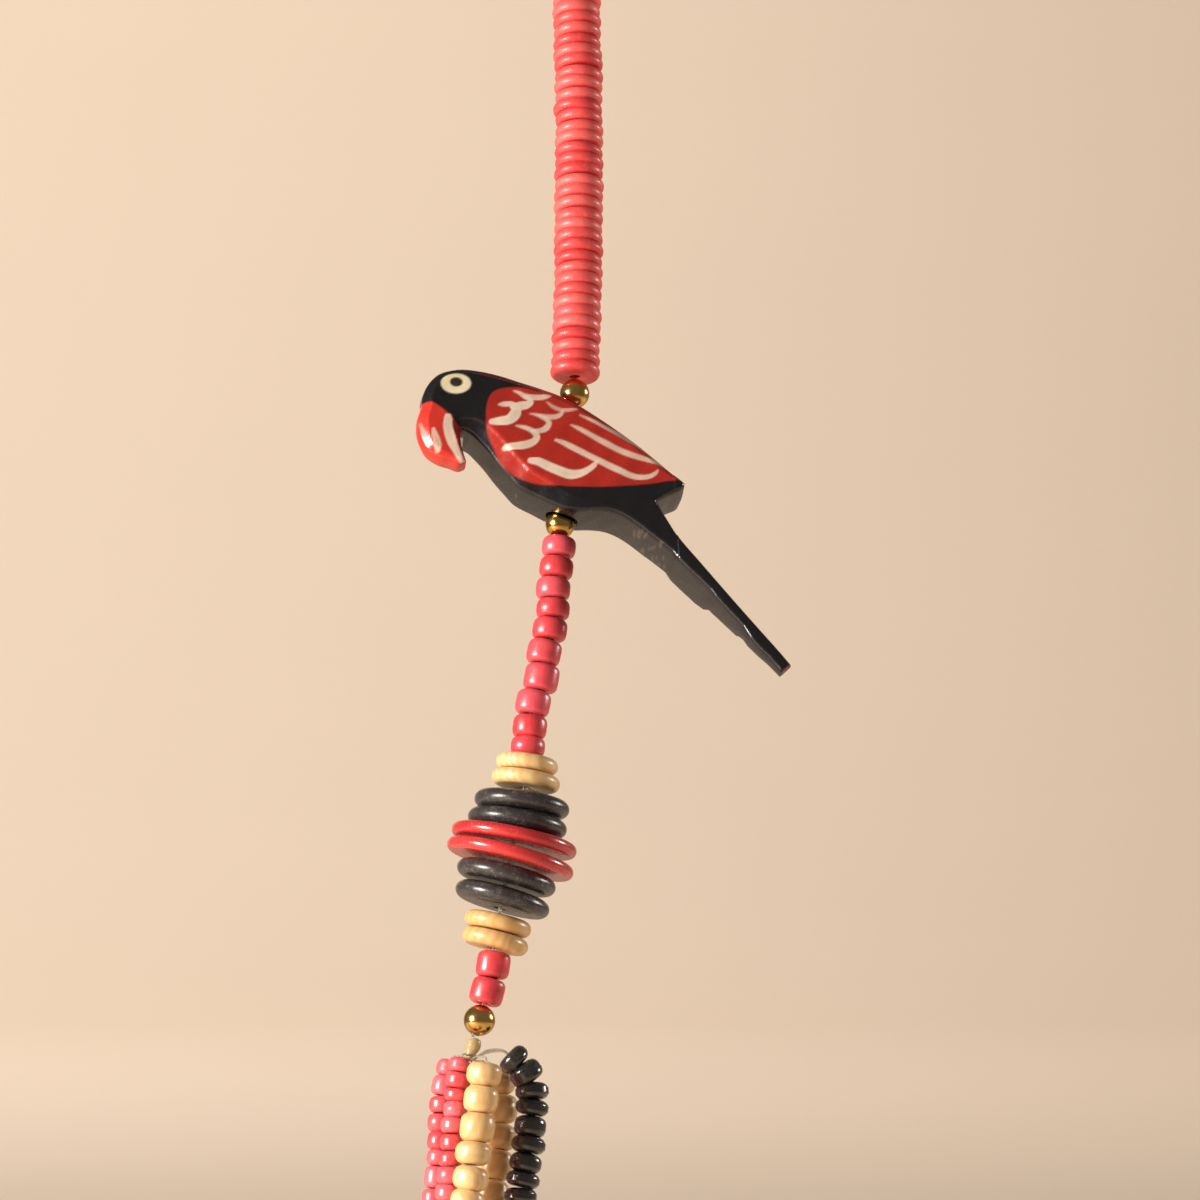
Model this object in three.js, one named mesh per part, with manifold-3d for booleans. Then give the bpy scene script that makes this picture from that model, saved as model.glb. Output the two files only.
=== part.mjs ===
// Beaded necklace: coral disc neck rope, a carved parrot on each side, barrel
// beads, a stack of flat wooden discs, and five hanging strands between two knots.
// Millimetres, +Z up, the wearer faces -Y, +X is the wearer's left.
// The origin is the middle of the rope where it sits on the nape.
import * as THREE from 'three';
import { mergeVertices } from 'three/addons/utils/BufferGeometryUtils.js';
import Module from 'manifold-3d';

const wasm = await Module();
wasm.setup();

// ---- driving dimensions (mm) ----
const ROPE_R = 4.0;            // heishi disc radius
const ROPE_GROOVE_R = 3.45;    // radius at the joint between two discs
const ROPE_PITCH = 1.92;
const ROPE_SIDES = 6;
const BORE_R = 0.85;           // hole through every bead
const THREAD_R = 0.35;
const GAP = 0.2;               // clearance between neighbours on the thread
const BRASS_R = 2.35;
const PLANK_T = 10.0;          // parrot thickness
const FAR_SPREAD = 1.13;       // the right side hangs this much wider
const KNOT_R = 1.1;
const KNOT_LEN = 3.0;
const SPINE_X = 57;            // reference distance from the centre front
const CHEST_BOW = 0.0015;      // how fast the chest falls back with x squared

// Forward slope of the chest under the necklace, in degrees from vertical.
const CHEST = [
  { z: -38, slope: 20 }, { z: -110, slope: 22 }, { z: -162, slope: 12 },
  { z: -202, slope: 10 }, { z: -262, slope: 4 }, { z: -312, slope: 0 }, { z: -400, slope: 0 },
];
const CHEST_START_Y = -110;
function chestY(x, z) {
  let y = CHEST_START_Y;
  for (let i = 0; i + 1 < CHEST.length && z < CHEST[i].z; i++) {
    const a = CHEST[i], b = CHEST[i + 1];
    const end = Math.max(z, b.z), steps = 8, h = (a.z - end) / steps;
    for (let k = 0; k < steps; k++) {
      const f = (k + 0.5) * h / (a.z - b.z);
      y -= h * Math.tan((a.slope + (b.slope - a.slope) * f) * Math.PI / 180);
    }
  }
  return y + CHEST_BOW * (x * x - SPINE_X * SPINE_X);
}

// Neck rope route, nape to the first brass bead.
const ROPE_ROUTE = [
  { x: 0.35, y: 0, z: 0 }, { x: 9, y: -0.1, z: 0.05 }, { x: 20, y: -2.0, z: 0.6 },
  { x: 35, y: -10, z: 1 }, { x: 47, y: -24, z: 1 }, { x: 55, y: -42, z: -1 }, { x: 58.4, y: -61, z: -5 },
  { x: 58.8, y: -78, z: -11 }, { x: 57.8, y: -93, z: -18.5 }, { x: 56.4, y: -103.4, z: -26.8 },
  { x: 55.7, y: -109.2, z: -35.7 }, { x: 55.9, y: -112.6, z: -44.1 }, { x: 56.1, y: -118.5, z: -60.5 },
  { x: 56.0, y: -125.0, z: -77.5 }, { x: 55.5, y: -133.1, z: -98.0 },
];

// Everything strung singly below the rope, top to bottom. roll: right side lower,
// pitch: lower end forward (degrees); dia and len are the bead's own size.
const BEADS = [
  { name: 'brass_bead_top', x: 55.45, z: -100.55, roll: 4, pitch: 21, dia: 4.7, len: 4.7 },
  { name: 'brass_bead_mid', x: 53.2, z: -121.4, roll: 9, pitch: 18, dia: 4.7, len: 4.7 },
  { name: 'barrel_bead_01', x: 53.0, z: -125.1, roll: 6, pitch: 17, dia: 5.3, len: 3.2 },
  { name: 'barrel_bead_02', x: 52.6, z: -128.4, roll: 7, pitch: 17, dia: 5.3, len: 3.3 },
  { name: 'barrel_bead_03', x: 52.1, z: -131.7, roll: 5, pitch: 16, dia: 5.4, len: 3.3 },
  { name: 'barrel_bead_04', x: 52.1, z: -134.9, roll: 4, pitch: 16, dia: 5.2, len: 3.1 },
  { name: 'barrel_bead_05', x: 51.6, z: -138.1, roll: 7, pitch: 15, dia: 5.4, len: 3.4 },
  { name: 'barrel_bead_06', x: 50.7, z: -141.7, roll: 12, pitch: 15, dia: 5.3, len: 3.8 },
  { name: 'barrel_bead_07', x: 50.3, z: -145.7, roll: 10, pitch: 14, dia: 5.4, len: 4.2 },
  { name: 'barrel_bead_08', x: 49.0, z: -149.6, roll: 11, pitch: 14, dia: 5.4, len: 3.8 },
  { name: 'barrel_bead_09', x: 48.5, z: -153.3, roll: 7, pitch: 13, dia: 5.3, len: 3.5 },
  { name: 'barrel_bead_10', x: 48.2, z: -156.4, roll: 5, pitch: 13, dia: 5.3, len: 3.0 },
  { name: 'disc_01', x: 48.1, z: -159.1, roll: 8, pitch: 11, dia: 9.8, len: 2.4 },
  { name: 'disc_02', x: 47.9, z: -161.65, roll: 9, pitch: 11, dia: 10.8, len: 2.4 },
  { name: 'disc_03', x: 47.3, z: -165.3, roll: 8.5, pitch: 10, dia: 14.9, len: 2.9 },
  { name: 'disc_04', x: 46.6, z: -168.2, roll: 9.5, pitch: 10, dia: 15.6, len: 2.9 },
  { name: 'disc_05', x: 46.1, z: -170.9, roll: 11.5, pitch: 10, dia: 20.0, len: 2.1 },
  { name: 'disc_06', x: 45.5, z: -173.7, roll: 14.5, pitch: 10, dia: 20.3, len: 2.1 },
  { name: 'disc_07', x: 44.9, z: -176.6, roll: 14.5, pitch: 9, dia: 15.7, len: 2.9 },
  { name: 'disc_08', x: 44.3, z: -180, roll: 15.5, pitch: 9, dia: 15.1, len: 2.9 },
  { name: 'disc_09', x: 43.6, z: -183.8, roll: 13, pitch: 9, dia: 10.6, len: 2.5 },
  { name: 'disc_10', x: 43.2, z: -186.45, roll: 14, pitch: 9, dia: 10.5, len: 2.5 },
  { name: 'barrel_bead_11', x: 42.9, z: -190.1, roll: 8, pitch: 10, dia: 5.2, len: 4.1 },
  { name: 'barrel_bead_12', x: 42.0, z: -194.2, roll: 14, pitch: 10, dia: 5.2, len: 4.1 },
  { name: 'brass_bead_low', x: 40.8, z: -198.6, roll: 16, pitch: 11, dia: 4.9, len: 4.9 },
];
const KNOT = { x: 39.8, z: -202.9, roll: 12, pitch: 10 };

// Hanging strands: first point, shoulder, leg point, lowest level; off: in front (-) or behind (+).
const STRANDS = [
  { name: 'strand_red_inner', x0: 36.4, z0: -205.0, x1: 35.2, z1: -210, x2: 34.1, z2: -223.6, low: -299, off: 4, dia: 4.0, pitch: 3.0, shown: false },
  { name: 'strand_red_outer', x0: 38.2, z0: -204.2, x1: 37.3, z1: -210, x2: 36.1, z2: -224.3, low: -304.5, off: -2, dia: 3.9, pitch: 2.4, shown: false },
  { name: 'strand_natural_front', x0: 41.9, z0: -204.6, x1: 41.2, z1: -210, x2: 39.5, z2: -222.3, low: -310.5, off: -6.2, dia: 5.5, pitch: 4.1, shown: true },
  { name: 'strand_natural_back', x0: 43.6, z0: -206.8, x1: 43.9, z1: -214, x2: 43.2, z2: -222.5, low: -312.5, off: 4.5, dia: 5.4, pitch: 4.1, shown: true },
  { name: 'strand_black', x0: 45.0, z0: -203.8, x1: 48.6, z1: -208, x2: 47.1, z2: -225.9, low: -320.5, off: 0, dia: 5.2, pitch: 2.75, shown: true },
];

// Parrot outline in its own plane: at runs from beak to tail, top and low are its edges.
// The front face is at depth 0 and the back at -thick.
const BODY = [
  { at: -24.8, top: 5.0, low: 2.2, thick: 5.5 }, { at: -24.2, top: 6.8, low: 0.3, thick: 7.5 },
  { at: -23.7, top: 9.4, low: -0.8, thick: 8.4 }, { at: -22.6, top: 11.8, low: -1.9, thick: 9.2 },
  { at: -20.8, top: 13.3, low: -2.9, thick: 9.8 }, { at: -18.6, top: 14.1, low: -3.6, thick: 10 },
  { at: -17.0, top: 14.2, low: -3.6, thick: 10 }, { at: -16.7, top: 14.2, low: 0.1, thick: 10 },
  { at: -15.3, top: 14.0, low: 0.2, thick: 10 }, { at: -13.0, top: 13.6, low: -1.5, thick: 10 },
  { at: -11.6, top: 13.1, low: -3.4, thick: 10 }, { at: -8.6, top: 11.9, low: -7.0, thick: 10 },
  { at: -5.8, top: 10.8, low: -8.6, thick: 10 }, { at: -2.4, top: 9.3, low: -10.4, thick: 10 },
  { at: 0.7, top: 7.7, low: -11.1, thick: 10 }, { at: 6.3, top: 4.0, low: -11.3, thick: 10 },
  { at: 10.1, top: 1.2, low: -11.3, thick: 10 }, { at: 14.1, top: -2.4, low: -11.3, thick: 10 },
  { at: 15.9, top: -4.1, low: -9.6, thick: 10 }, { at: 17.4, top: -6.2, low: -8.2, thick: 10 },
];
const TAIL = [
  { at: 5.6, top: -7.0, low: -10.0, thick: 9.6 }, { at: 8.6, top: -8.0, low: -12.6, thick: 9.8 },
  { at: 10.1, top: -8.0, low: -13.8, thick: 9.8 }, { at: 13.0, top: -9.0, low: -16.5, thick: 9.8 },
  { at: 14.3, top: -11.4, low: -17.7, thick: 9.8 }, { at: 16.3, top: -15.0, low: -20.3, thick: 9.8 },
  { at: 19.3, top: -19.2, low: -23.6, thick: 9.4 }, { at: 20.9, top: -21.3, low: -25.7, thick: 7.6 },
  { at: 23.7, top: -25.2, low: -29.1, thick: 6.4 }, { at: 25.3, top: -27.3, low: -31.1, thick: 6.0 },
  { at: 26.2, top: -28.4, low: -32.8, thick: 4.2 }, { at: 28.1, top: -31.0, low: -35.2, thick: 3.4 },
  { at: 31.0, top: -34.9, low: -39.4, thick: 2.5 }, { at: 32.6, top: -37.0, low: -38.0, thick: 2.2 },
];
const EDGE = 1.6;              // chamfer along the plank's edges
const PARROT = { x: 55.07, y: -143.55, z: -108.99, turn: 7.4, lean: 23.6 };   // centre of the front face

// ---- materials ----
const mat = (color, roughness, metalness = 0) => new THREE.MeshStandardMaterial({ color, roughness, metalness });
const coral = () => mat(0xf04a4e, 0.5), red = () => mat(0xd8383f, 0.35), natural = () => mat(0xd9b074, 0.5);
const black = () => mat(0x1c1b1e, 0.3), brass = () => mat(0xb0802f, 0.3, 0.9), amber = () => mat(0xc99a55, 0.4);

const group = new THREE.Group();
function add(name, geometry, material, matrix) {
  const mesh = new THREE.Mesh(geometry, material);
  mesh.name = name;
  if (matrix) mesh.applyMatrix4(matrix);
  group.add(mesh);
  return mesh;
}

// ---- shapes ----
const V = (x, y, z) => new THREE.Vector3(x, y, z);
const rad = THREE.MathUtils.degToRad;

// Ring solid: a profile of [radius, height] that closes on itself around the bore.
function ring(profile, segments) {
  const pts = profile.concat([profile[0]]).map(([r, h]) => new THREE.Vector2(r, h));
  const g = new THREE.LatheGeometry(pts, segments);
  g.rotateX(Math.PI / 2);
  return g;
}
function discGeometry(dia, len) {
  const R = dia / 2, h = len / 2;
  return ring([[BORE_R, -h], [R - 0.7, -h], [R, 0], [R - 0.7, h], [BORE_R, h]], 10);
}
function barrelGeometry(dia, len) {
  const R = dia / 2, h = len / 2;
  return ring([[BORE_R, -h], [R * 0.8, -h], [R, 0], [R * 0.8, h], [BORE_R, h]], 8);
}
function ballGeometry(dia) {
  const R = dia / 2, a0 = Math.asin(BORE_R / R), n = 5, profile = [];
  for (let i = 0; i <= n; i++) {
    const a = -Math.PI / 2 + a0 + (Math.PI - 2 * a0) * i / n;
    profile.push([R * Math.cos(a), R * Math.sin(a)]);
  }
  return ring(profile, 8);
}

// Solid of rings along a curve: beads show as a ridge at each middle and a groove at each joint.
function beadedRod(curve, count, ridge, groove, sides) {
  const steps = 2 * count, frames = curve.computeFrenetFrames(steps, false);
  const pos = [], idx = [];
  for (let i = 0; i <= steps; i++) {
    const c = curve.getPointAt(i / steps), r = i % 2 ? ridge : groove;
    for (let k = 0; k < sides; k++) {
      const a = 2 * Math.PI * (k + 0.5) / sides;
      const p = c.clone().addScaledVector(frames.normals[i], r * Math.cos(a)).addScaledVector(frames.binormals[i], r * Math.sin(a));
      pos.push(p.x, p.y, p.z);
    }
  }
  for (let i = 0; i < steps; i++) for (let k = 0; k < sides; k++) {
    const a = i * sides + k, b = i * sides + (k + 1) % sides, c = a + sides, d = b + sides;
    idx.push(a, b, d, a, d, c);
  }
  for (let k = 1; k + 1 < sides; k++) {
    idx.push(0, k + 1, k);
    const e = steps * sides;
    idx.push(e, e + k, e + k + 1);
  }
  const g = new THREE.BufferGeometry();
  g.setAttribute('position', new THREE.Float32BufferAttribute(pos, 3));
  g.setIndex(idx);
  return g;
}
function roundSection(r, sides) {
  const s = new THREE.Shape();
  for (let k = 0; k <= sides; k++) {
    const a = 2 * Math.PI * k / sides, x = r * Math.cos(a), y = r * Math.sin(a);
    if (k === 0) s.moveTo(x, y); else if (k < sides) s.lineTo(x, y);
  }
  return s;
}
function rod(curve, r, sides, steps) {
  return new THREE.ExtrudeGeometry(roundSection(r, sides), { steps, bevelEnabled: false, extrudePath: curve });
}

// Loft of chamfered rectangles through a table of sections.
function plank(rows) {
  const pos = [], idx = [], n = 8;
  for (const { at, top, low, thick } of rows) {
    const c = Math.min(EDGE, 0.3 * (top - low), 0.3 * thick);
    const loop = [[top - c, 0], [top, -c], [top, c - thick], [top - c, -thick],
      [low + c, -thick], [low, c - thick], [low, -c], [low + c, 0]];
    for (const [v, w] of loop) pos.push(at, v, w);
  }
  for (let i = 0; i + 1 < rows.length; i++) for (let k = 0; k < n; k++) {
    const a = i * n + k, b = i * n + (k + 1) % n, c = a + n, d = b + n;
    idx.push(a, d, b, a, c, d);
  }
  const e = (rows.length - 1) * n;
  for (let k = 1; k + 1 < n; k++) { idx.push(0, k, k + 1); idx.push(e, e + k + 1, e + k); }
  const g = new THREE.BufferGeometry();
  g.setAttribute('position', new THREE.Float32BufferAttribute(pos, 3));
  g.setIndex(idx);
  return g;
}

// ---- joins and cuts ----
function solid(geometry) {
  const g = geometry.clone();
  g.deleteAttribute('normal');
  g.deleteAttribute('uv');
  const m = mergeVertices(g, 1e-4);
  const mesh = new wasm.Mesh({ numProp: 3, vertProperties: new Float32Array(m.attributes.position.array), triVerts: new Uint32Array(m.index.array) });
  mesh.merge();
  return new wasm.Manifold(mesh);
}
function geometryOf(manifold) {
  const m = manifold.getMesh(), g = new THREE.BufferGeometry();
  g.setAttribute('position', new THREE.BufferAttribute(new Float32Array(m.vertProperties), 3));
  g.setIndex(new THREE.BufferAttribute(new Uint32Array(m.triVerts), 1));
  return g;
}
function mirrored(geometry) {
  const g = geometry.clone();
  g.scale(-1, 1, 1);
  const i = g.index.array.slice();
  for (let k = 0; k < i.length; k += 3) [i[k], i[k + 1]] = [i[k + 1], i[k]];
  g.setIndex(new THREE.BufferAttribute(i, 1));
  return g;
}

// ---- placing on a side: s = 1 is the left, s = -1 the right ----
const sideX = (s, x) => (s > 0 ? x : -FAR_SPREAD * x);
function beadMatrix(s, row) {
  const up = V(s * Math.sin(rad(row.roll)), Math.sin(rad(row.pitch)), Math.cos(rad(row.roll)) * Math.cos(rad(row.pitch))).normalize();
  const q = new THREE.Quaternion().setFromUnitVectors(V(0, 0, 1), up);
  return new THREE.Matrix4().compose(V(sideX(s, row.x), chestY(row.x, row.z), row.z), q, V(1, 1, 1));
}
function centre(s, row) { return V(sideX(s, row.x), chestY(row.x, row.z), row.z); }

// A bead's solid is as long as its own size allows within the room between its neighbours.
const FIT = BEADS.map((b, i) => {
  let len = b.len;
  for (const o of [BEADS[i - 1], BEADS[i + 1]]) {
    if (!o || Math.abs(o.z - b.z) > 12) continue;
    const d = centre(1, b).distanceTo(centre(1, o));
    const share = d * b.len / (b.len + o.len);
    const fan = Math.abs(o.roll - b.roll) * Math.PI / 180 * 0.5 * Math.min(b.dia, o.dia) / 2;
    len = Math.min(len, 2 * share - GAP - fan);
  }
  return { ...b, len };
});

for (const [side, s] of [['l', 1], ['r', -1]]) {
  // Neck rope.
  const route = new THREE.CatmullRomCurve3(ROPE_ROUTE.map(p => V(sideX(s, p.x), p.y, p.z)), false, 'centripetal');
  const discs = Math.round(route.getLength() / ROPE_PITCH);
  add('neck_rope_' + side, beadedRod(route, discs, ROPE_R, ROPE_GROOVE_R, ROPE_SIDES), coral());

  // Parrot, bored along the thread and recessed for the lower brass bead.
  const face = new THREE.Matrix4();
  const N = V(Math.sin(rad(PARROT.turn)) * Math.cos(rad(PARROT.lean)), -Math.cos(rad(PARROT.turn)) * Math.cos(rad(PARROT.lean)), Math.sin(rad(PARROT.lean)));
  const U = V(-N.y, N.x, 0).normalize(), W = N.clone().cross(U);
  face.makeBasis(U, W, N).setPosition(PARROT.x, PARROT.y, PARROT.z);
  const toFace = face.clone().invert();
  const top = centre(1, BEADS[0]).applyMatrix4(toFace), mid = centre(1, BEADS[1]).applyMatrix4(toFace);
  const hole = new THREE.CylinderGeometry(BORE_R, BORE_R, top.distanceTo(mid), 10);
  hole.applyMatrix4(new THREE.Matrix4().compose(top.clone().add(mid).multiplyScalar(0.5),
    new THREE.Quaternion().setFromUnitVectors(V(0, 1, 0), top.clone().sub(mid).normalize()), V(1, 1, 1)));
  const seat = new THREE.SphereGeometry(BRASS_R + 0.45, 10, 8);
  seat.translate(mid.x, mid.y, mid.z);
  let bird = geometryOf(solid(plank(BODY)).add(solid(plank(TAIL))).subtract(solid(hole)).subtract(solid(seat)));
  bird.applyMatrix4(face);
  bird.translate(-PARROT.x, 0, 0);
  if (s < 0) bird = mirrored(bird);
  const bm = add('parrot_' + side, bird, black());
  bm.position.x = sideX(s, PARROT.x);
  const shift = sideX(s, PARROT.x) - s * PARROT.x;

  // Beads strung singly.
  const upper = [];
  for (const row of FIT) {
    const m = beadMatrix(s, row);
    if (row.name.startsWith('brass') && s < 0 && row.name !== 'brass_bead_low') {
      // the far brass beads follow the far parrot's thread hole
      const c = centre(1, row);
      m.setPosition(-c.x + shift, c.y, c.z);
    }
    const name = row.name + '_' + side;
    if (row.name.startsWith('brass')) add(name, ballGeometry(row.dia), brass(), m);
    else if (row.name.startsWith('disc')) {
      const n = Number(row.name.slice(5));
      const paint = n <= 2 || n >= 9 ? natural() : n === 5 || n === 6 ? red() : black();
      add(name, discGeometry(row.dia, row.len), paint, m);
    } else if (s < 0 && Number(row.name.slice(12)) <= 10) upper.push(row);
    else add(name, barrelGeometry(row.dia, row.len), red(), m);
  }

  // Thread from the rope to the knot, straight through the parrot.
  const at = row => {
    const c = centre(1, row);
    return s > 0 ? c : V(row.z > -123 ? -c.x + shift : sideX(s, row.x), c.y, c.z);
  };
  const knotTop = V(sideX(s, KNOT.x), chestY(KNOT.x, KNOT.z), KNOT.z + KNOT_LEN / 2 + 0.35);
  const way = [at(BEADS[0]).add(V(0, 0.65, 1.8))];
  way.push(at(BEADS[0]));
  for (const f of [0.25, 0.5, 0.75]) way.push(at(BEADS[0]).lerp(at(BEADS[1]), f));
  for (const row of BEADS.slice(1)) way.push(at(row));
  way.push(knotTop);
  add('thread_' + side, rod(new THREE.CatmullRomCurve3(way, false, 'centripetal'), THREAD_R, 5, 40), amber());

  // The far side's ten upper barrel beads are joined along their thread.
  if (s < 0) {
    const mids = upper.map(row => centre(s, row)), first = mids[0], last = mids[mids.length - 1];
    const head = first.clone().sub(mids[1]).multiplyScalar(0.45).add(first);
    const foot = last.clone().sub(mids[mids.length - 2]).multiplyScalar(0.4).add(last);
    const run = new THREE.CatmullRomCurve3([head, ...mids, foot], false, 'centripetal');
    const tunnel = new THREE.CatmullRomCurve3([head.clone().lerp(first, -1), head, ...mids, foot, foot.clone().lerp(last, -1)], false, 'centripetal');
    const joined = solid(beadedRod(run, upper.length, 2.65, 2.15, 8)).subtract(solid(rod(tunnel, BORE_R, 6, 14)));
    add('barrel_beads_upper_r', geometryOf(joined), red());
  }

  // Knot sleeve.
  const sleeve = new THREE.CylinderGeometry(KNOT_R * 0.8, KNOT_R, KNOT_LEN, 10);
  sleeve.rotateX(Math.PI / 2);
  add('knot_' + side, sleeve, amber(), beadMatrix(s, KNOT));
}

// ---- hanging strands ----
function hang(row) {
  const y = (x, z) => chestY(x, z) + row.off;
  const left = [[row.x0, row.z0], [row.x1, row.z1], [row.x2, row.z2]];
  const right = left.map(([x, z]) => [sideX(-1, x), z]).reverse();
  const xl = row.x2, xr = sideX(-1, row.x2), w = (xl - xr) / 2, mid = (xl + xr) / 2, sag = row.z2 - row.low;
  let a = 2;
  for (let i = 0; i < 60; i++) a = Math.acosh(1 + a * sag / w);
  const c = w / a, half = c * Math.sinh(a), low = [], n = 12;
  for (let i = 1; i < n; i++) {
    const s = half * (1 - 2 * i / n), x = c * Math.asinh(s / c);
    low.push([mid + x, row.low + c * (Math.cosh(x / c) - 1)]);
  }
  const pts = [...left, ...low, ...right].map(([x, z]) => V(x, y(Math.abs(x), z), z));
  return new THREE.CatmullRomCurve3(pts, false, 'centripetal');
}
for (const row of STRANDS) {
  const curve = hang(row), length = curve.getLength(), count = Math.round(length / row.pitch);
  const paint = row.name.includes('red') ? red() : row.name.includes('black') ? black() : natural();
  if (row.shown) add(row.name, beadedRod(curve, count, row.dia / 2, row.dia / 2 * 0.76, 5), paint);
  else add(row.name, rod(curve, row.dia / 2, 6, 40), paint);
}

export default group;
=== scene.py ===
# Beaded necklace: the looks, around the CAD frame. Metres; tables are in millimetres.
import math
import bpy
import numpy as np
from mathutils import Vector, Matrix


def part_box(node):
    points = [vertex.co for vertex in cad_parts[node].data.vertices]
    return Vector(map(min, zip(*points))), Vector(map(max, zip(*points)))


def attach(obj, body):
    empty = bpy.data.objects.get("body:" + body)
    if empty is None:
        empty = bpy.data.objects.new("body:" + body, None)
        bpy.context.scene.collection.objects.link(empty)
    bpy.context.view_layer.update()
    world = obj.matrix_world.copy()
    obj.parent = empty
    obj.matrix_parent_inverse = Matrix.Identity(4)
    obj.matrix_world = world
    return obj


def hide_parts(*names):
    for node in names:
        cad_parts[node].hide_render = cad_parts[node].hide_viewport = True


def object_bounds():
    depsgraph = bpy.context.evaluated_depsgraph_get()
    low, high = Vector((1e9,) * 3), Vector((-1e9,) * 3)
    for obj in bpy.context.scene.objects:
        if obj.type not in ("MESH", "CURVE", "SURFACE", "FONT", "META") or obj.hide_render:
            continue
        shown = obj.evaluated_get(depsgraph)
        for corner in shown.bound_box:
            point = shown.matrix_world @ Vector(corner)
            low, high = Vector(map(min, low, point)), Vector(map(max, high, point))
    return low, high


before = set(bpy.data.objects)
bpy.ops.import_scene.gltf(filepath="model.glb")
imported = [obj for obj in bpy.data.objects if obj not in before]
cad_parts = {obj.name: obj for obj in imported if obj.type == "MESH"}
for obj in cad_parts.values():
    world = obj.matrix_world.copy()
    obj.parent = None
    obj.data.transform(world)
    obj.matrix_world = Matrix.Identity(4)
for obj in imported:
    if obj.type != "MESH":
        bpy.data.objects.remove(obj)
CAD_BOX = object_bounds()
MM = 0.001
rng = np.random.default_rng(20)

# ---------------------------------------------------------------- tables (mm), as in the CAD
ROPE_ROUTE = [(0.35, 0, 0), (9, -0.1, 0.05), (20, -2.0, 0.6), (35, -10, 1), (47, -24, 1), (55, -42, -1),
              (58.4, -61, -5), (58.8, -78, -11), (57.8, -93, -18.5), (56.4, -103.4, -26.8), (55.7, -109.2, -35.7),
              (55.9, -112.6, -44.1), (56.1, -118.5, -60.5), (56.0, -125.0, -77.5), (55.5, -133.1, -98.0)]
ROPE_R, ROPE_PITCH, FAR_SPREAD = 4.0, 1.92, 1.13
# name: roll, pitch, diameter, length
BEADS = {
    "brass_bead_top": (4, 21, 4.7, 4.7), "brass_bead_mid": (9, 18, 4.7, 4.7),
    "barrel_bead_01": (6, 17, 5.3, 3.2), "barrel_bead_02": (7, 17, 5.3, 3.3), "barrel_bead_03": (5, 16, 5.4, 3.3),
    "barrel_bead_04": (4, 16, 5.2, 3.1), "barrel_bead_05": (7, 15, 5.4, 3.4), "barrel_bead_06": (12, 15, 5.3, 3.8),
    "barrel_bead_07": (10, 14, 5.4, 4.2), "barrel_bead_08": (11, 14, 5.4, 3.8), "barrel_bead_09": (7, 13, 5.3, 3.5),
    "barrel_bead_10": (5, 13, 5.3, 3.0),
    "disc_01": (8, 11, 9.8, 2.4), "disc_02": (9, 11, 10.8, 2.4), "disc_03": (8.5, 10, 14.9, 2.9),
    "disc_04": (9.5, 10, 15.6, 2.9), "disc_05": (11.5, 10, 20.0, 2.1), "disc_06": (14.5, 10, 20.3, 2.1),
    "disc_07": (14.5, 9, 15.7, 2.9), "disc_08": (15.5, 9, 15.1, 2.9), "disc_09": (13, 9, 10.6, 2.5),
    "disc_10": (14, 9, 10.5, 2.5),
    "barrel_bead_11": (8, 10, 5.2, 4.1), "barrel_bead_12": (14, 10, 5.2, 4.1), "brass_bead_low": (16, 11, 4.9, 4.9),
}
# strands: three points of the leg (x, z), lowest level, offset, diameter, bead pitch
STRANDS = {
    "strand_red_inner": ((36.4, -205.0), (35.2, -210), (34.1, -223.6), -299, 4, 4.0, 3.0),
    "strand_red_outer": ((38.2, -204.2), (37.3, -210), (36.1, -224.3), -304.5, -2, 3.9, 2.4),
    "strand_natural_front": ((41.9, -204.6), (41.2, -210), (39.5, -222.3), -310.5, -6.2, 5.5, 4.1),
    "strand_natural_back": ((43.6, -206.8), (43.9, -214), (43.2, -222.5), -312.5, 4.5, 5.4, 4.1),
    "strand_black": ((45.0, -203.8), (48.6, -208), (47.1, -225.9), -320.5, 0, 5.2, 2.75),
}
CHEST = [(-38, 20), (-110, 22), (-162, 12), (-202, 10), (-262, 4), (-312, 0), (-400, 0)]


def chest_y(x, z):
    y = -110.0
    for (az, a), (bz, b) in zip(CHEST, CHEST[1:]):
        if z >= az:
            break
        end = max(z, bz)
        h = (az - end) / 8
        for k in range(8):
            f = (k + 0.5) * h / (az - bz)
            y -= h * math.tan(math.radians(a + (b - a) * f))
    return y + 0.0015 * (x * x - 57 * 57)


def side_x(s, x):
    return x if s > 0 else -FAR_SPREAD * x


# ---------------------------------------------------------------- curves
def catmull(points, per=24):
    """Centripetal Catmull-Rom through the points, sampled."""
    P = [np.array(p, float) for p in points]
    P = [2 * P[0] - P[1]] + P + [2 * P[-1] - P[-2]]
    out = []
    for i in range(1, len(P) - 2):
        p0, p1, p2, p3 = P[i - 1:i + 3]
        d = [max(np.linalg.norm(b - a), 1e-6) ** 0.5 for a, b in ((p0, p1), (p1, p2), (p2, p3))]
        t1 = ((p1 - p0) / d[0] - (p2 - p0) / (d[0] + d[1]) + (p2 - p1) / d[1]) * d[1]
        t2 = ((p2 - p1) / d[1] - (p3 - p1) / (d[1] + d[2]) + (p3 - p2) / d[2]) * d[1]
        for k in range(per):
            t = k / per
            out.append((2 * t**3 - 3 * t**2 + 1) * p1 + (t**3 - 2 * t**2 + t) * t1 + (3 * t**2 - 2 * t**3) * p2 + (t**3 - t**2) * t2)
    out.append(P[-2])
    return np.array(out)


class Path:
    def __init__(self, pts):
        self.p = np.array(pts, float)
        seg = np.linalg.norm(np.diff(self.p, axis=0), axis=1)
        self.s = np.concatenate([[0], np.cumsum(seg)])
        self.length = self.s[-1]

    def at(self, s):
        return np.array([np.interp(s, self.s, self.p[:, k]) for k in range(3)]).T

    def tangent(self, s):
        a, b = self.at(np.clip(s - 0.4, 0, self.length)), self.at(np.clip(s + 0.4, 0, self.length))
        d = b - a
        return d / np.linalg.norm(d)


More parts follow.
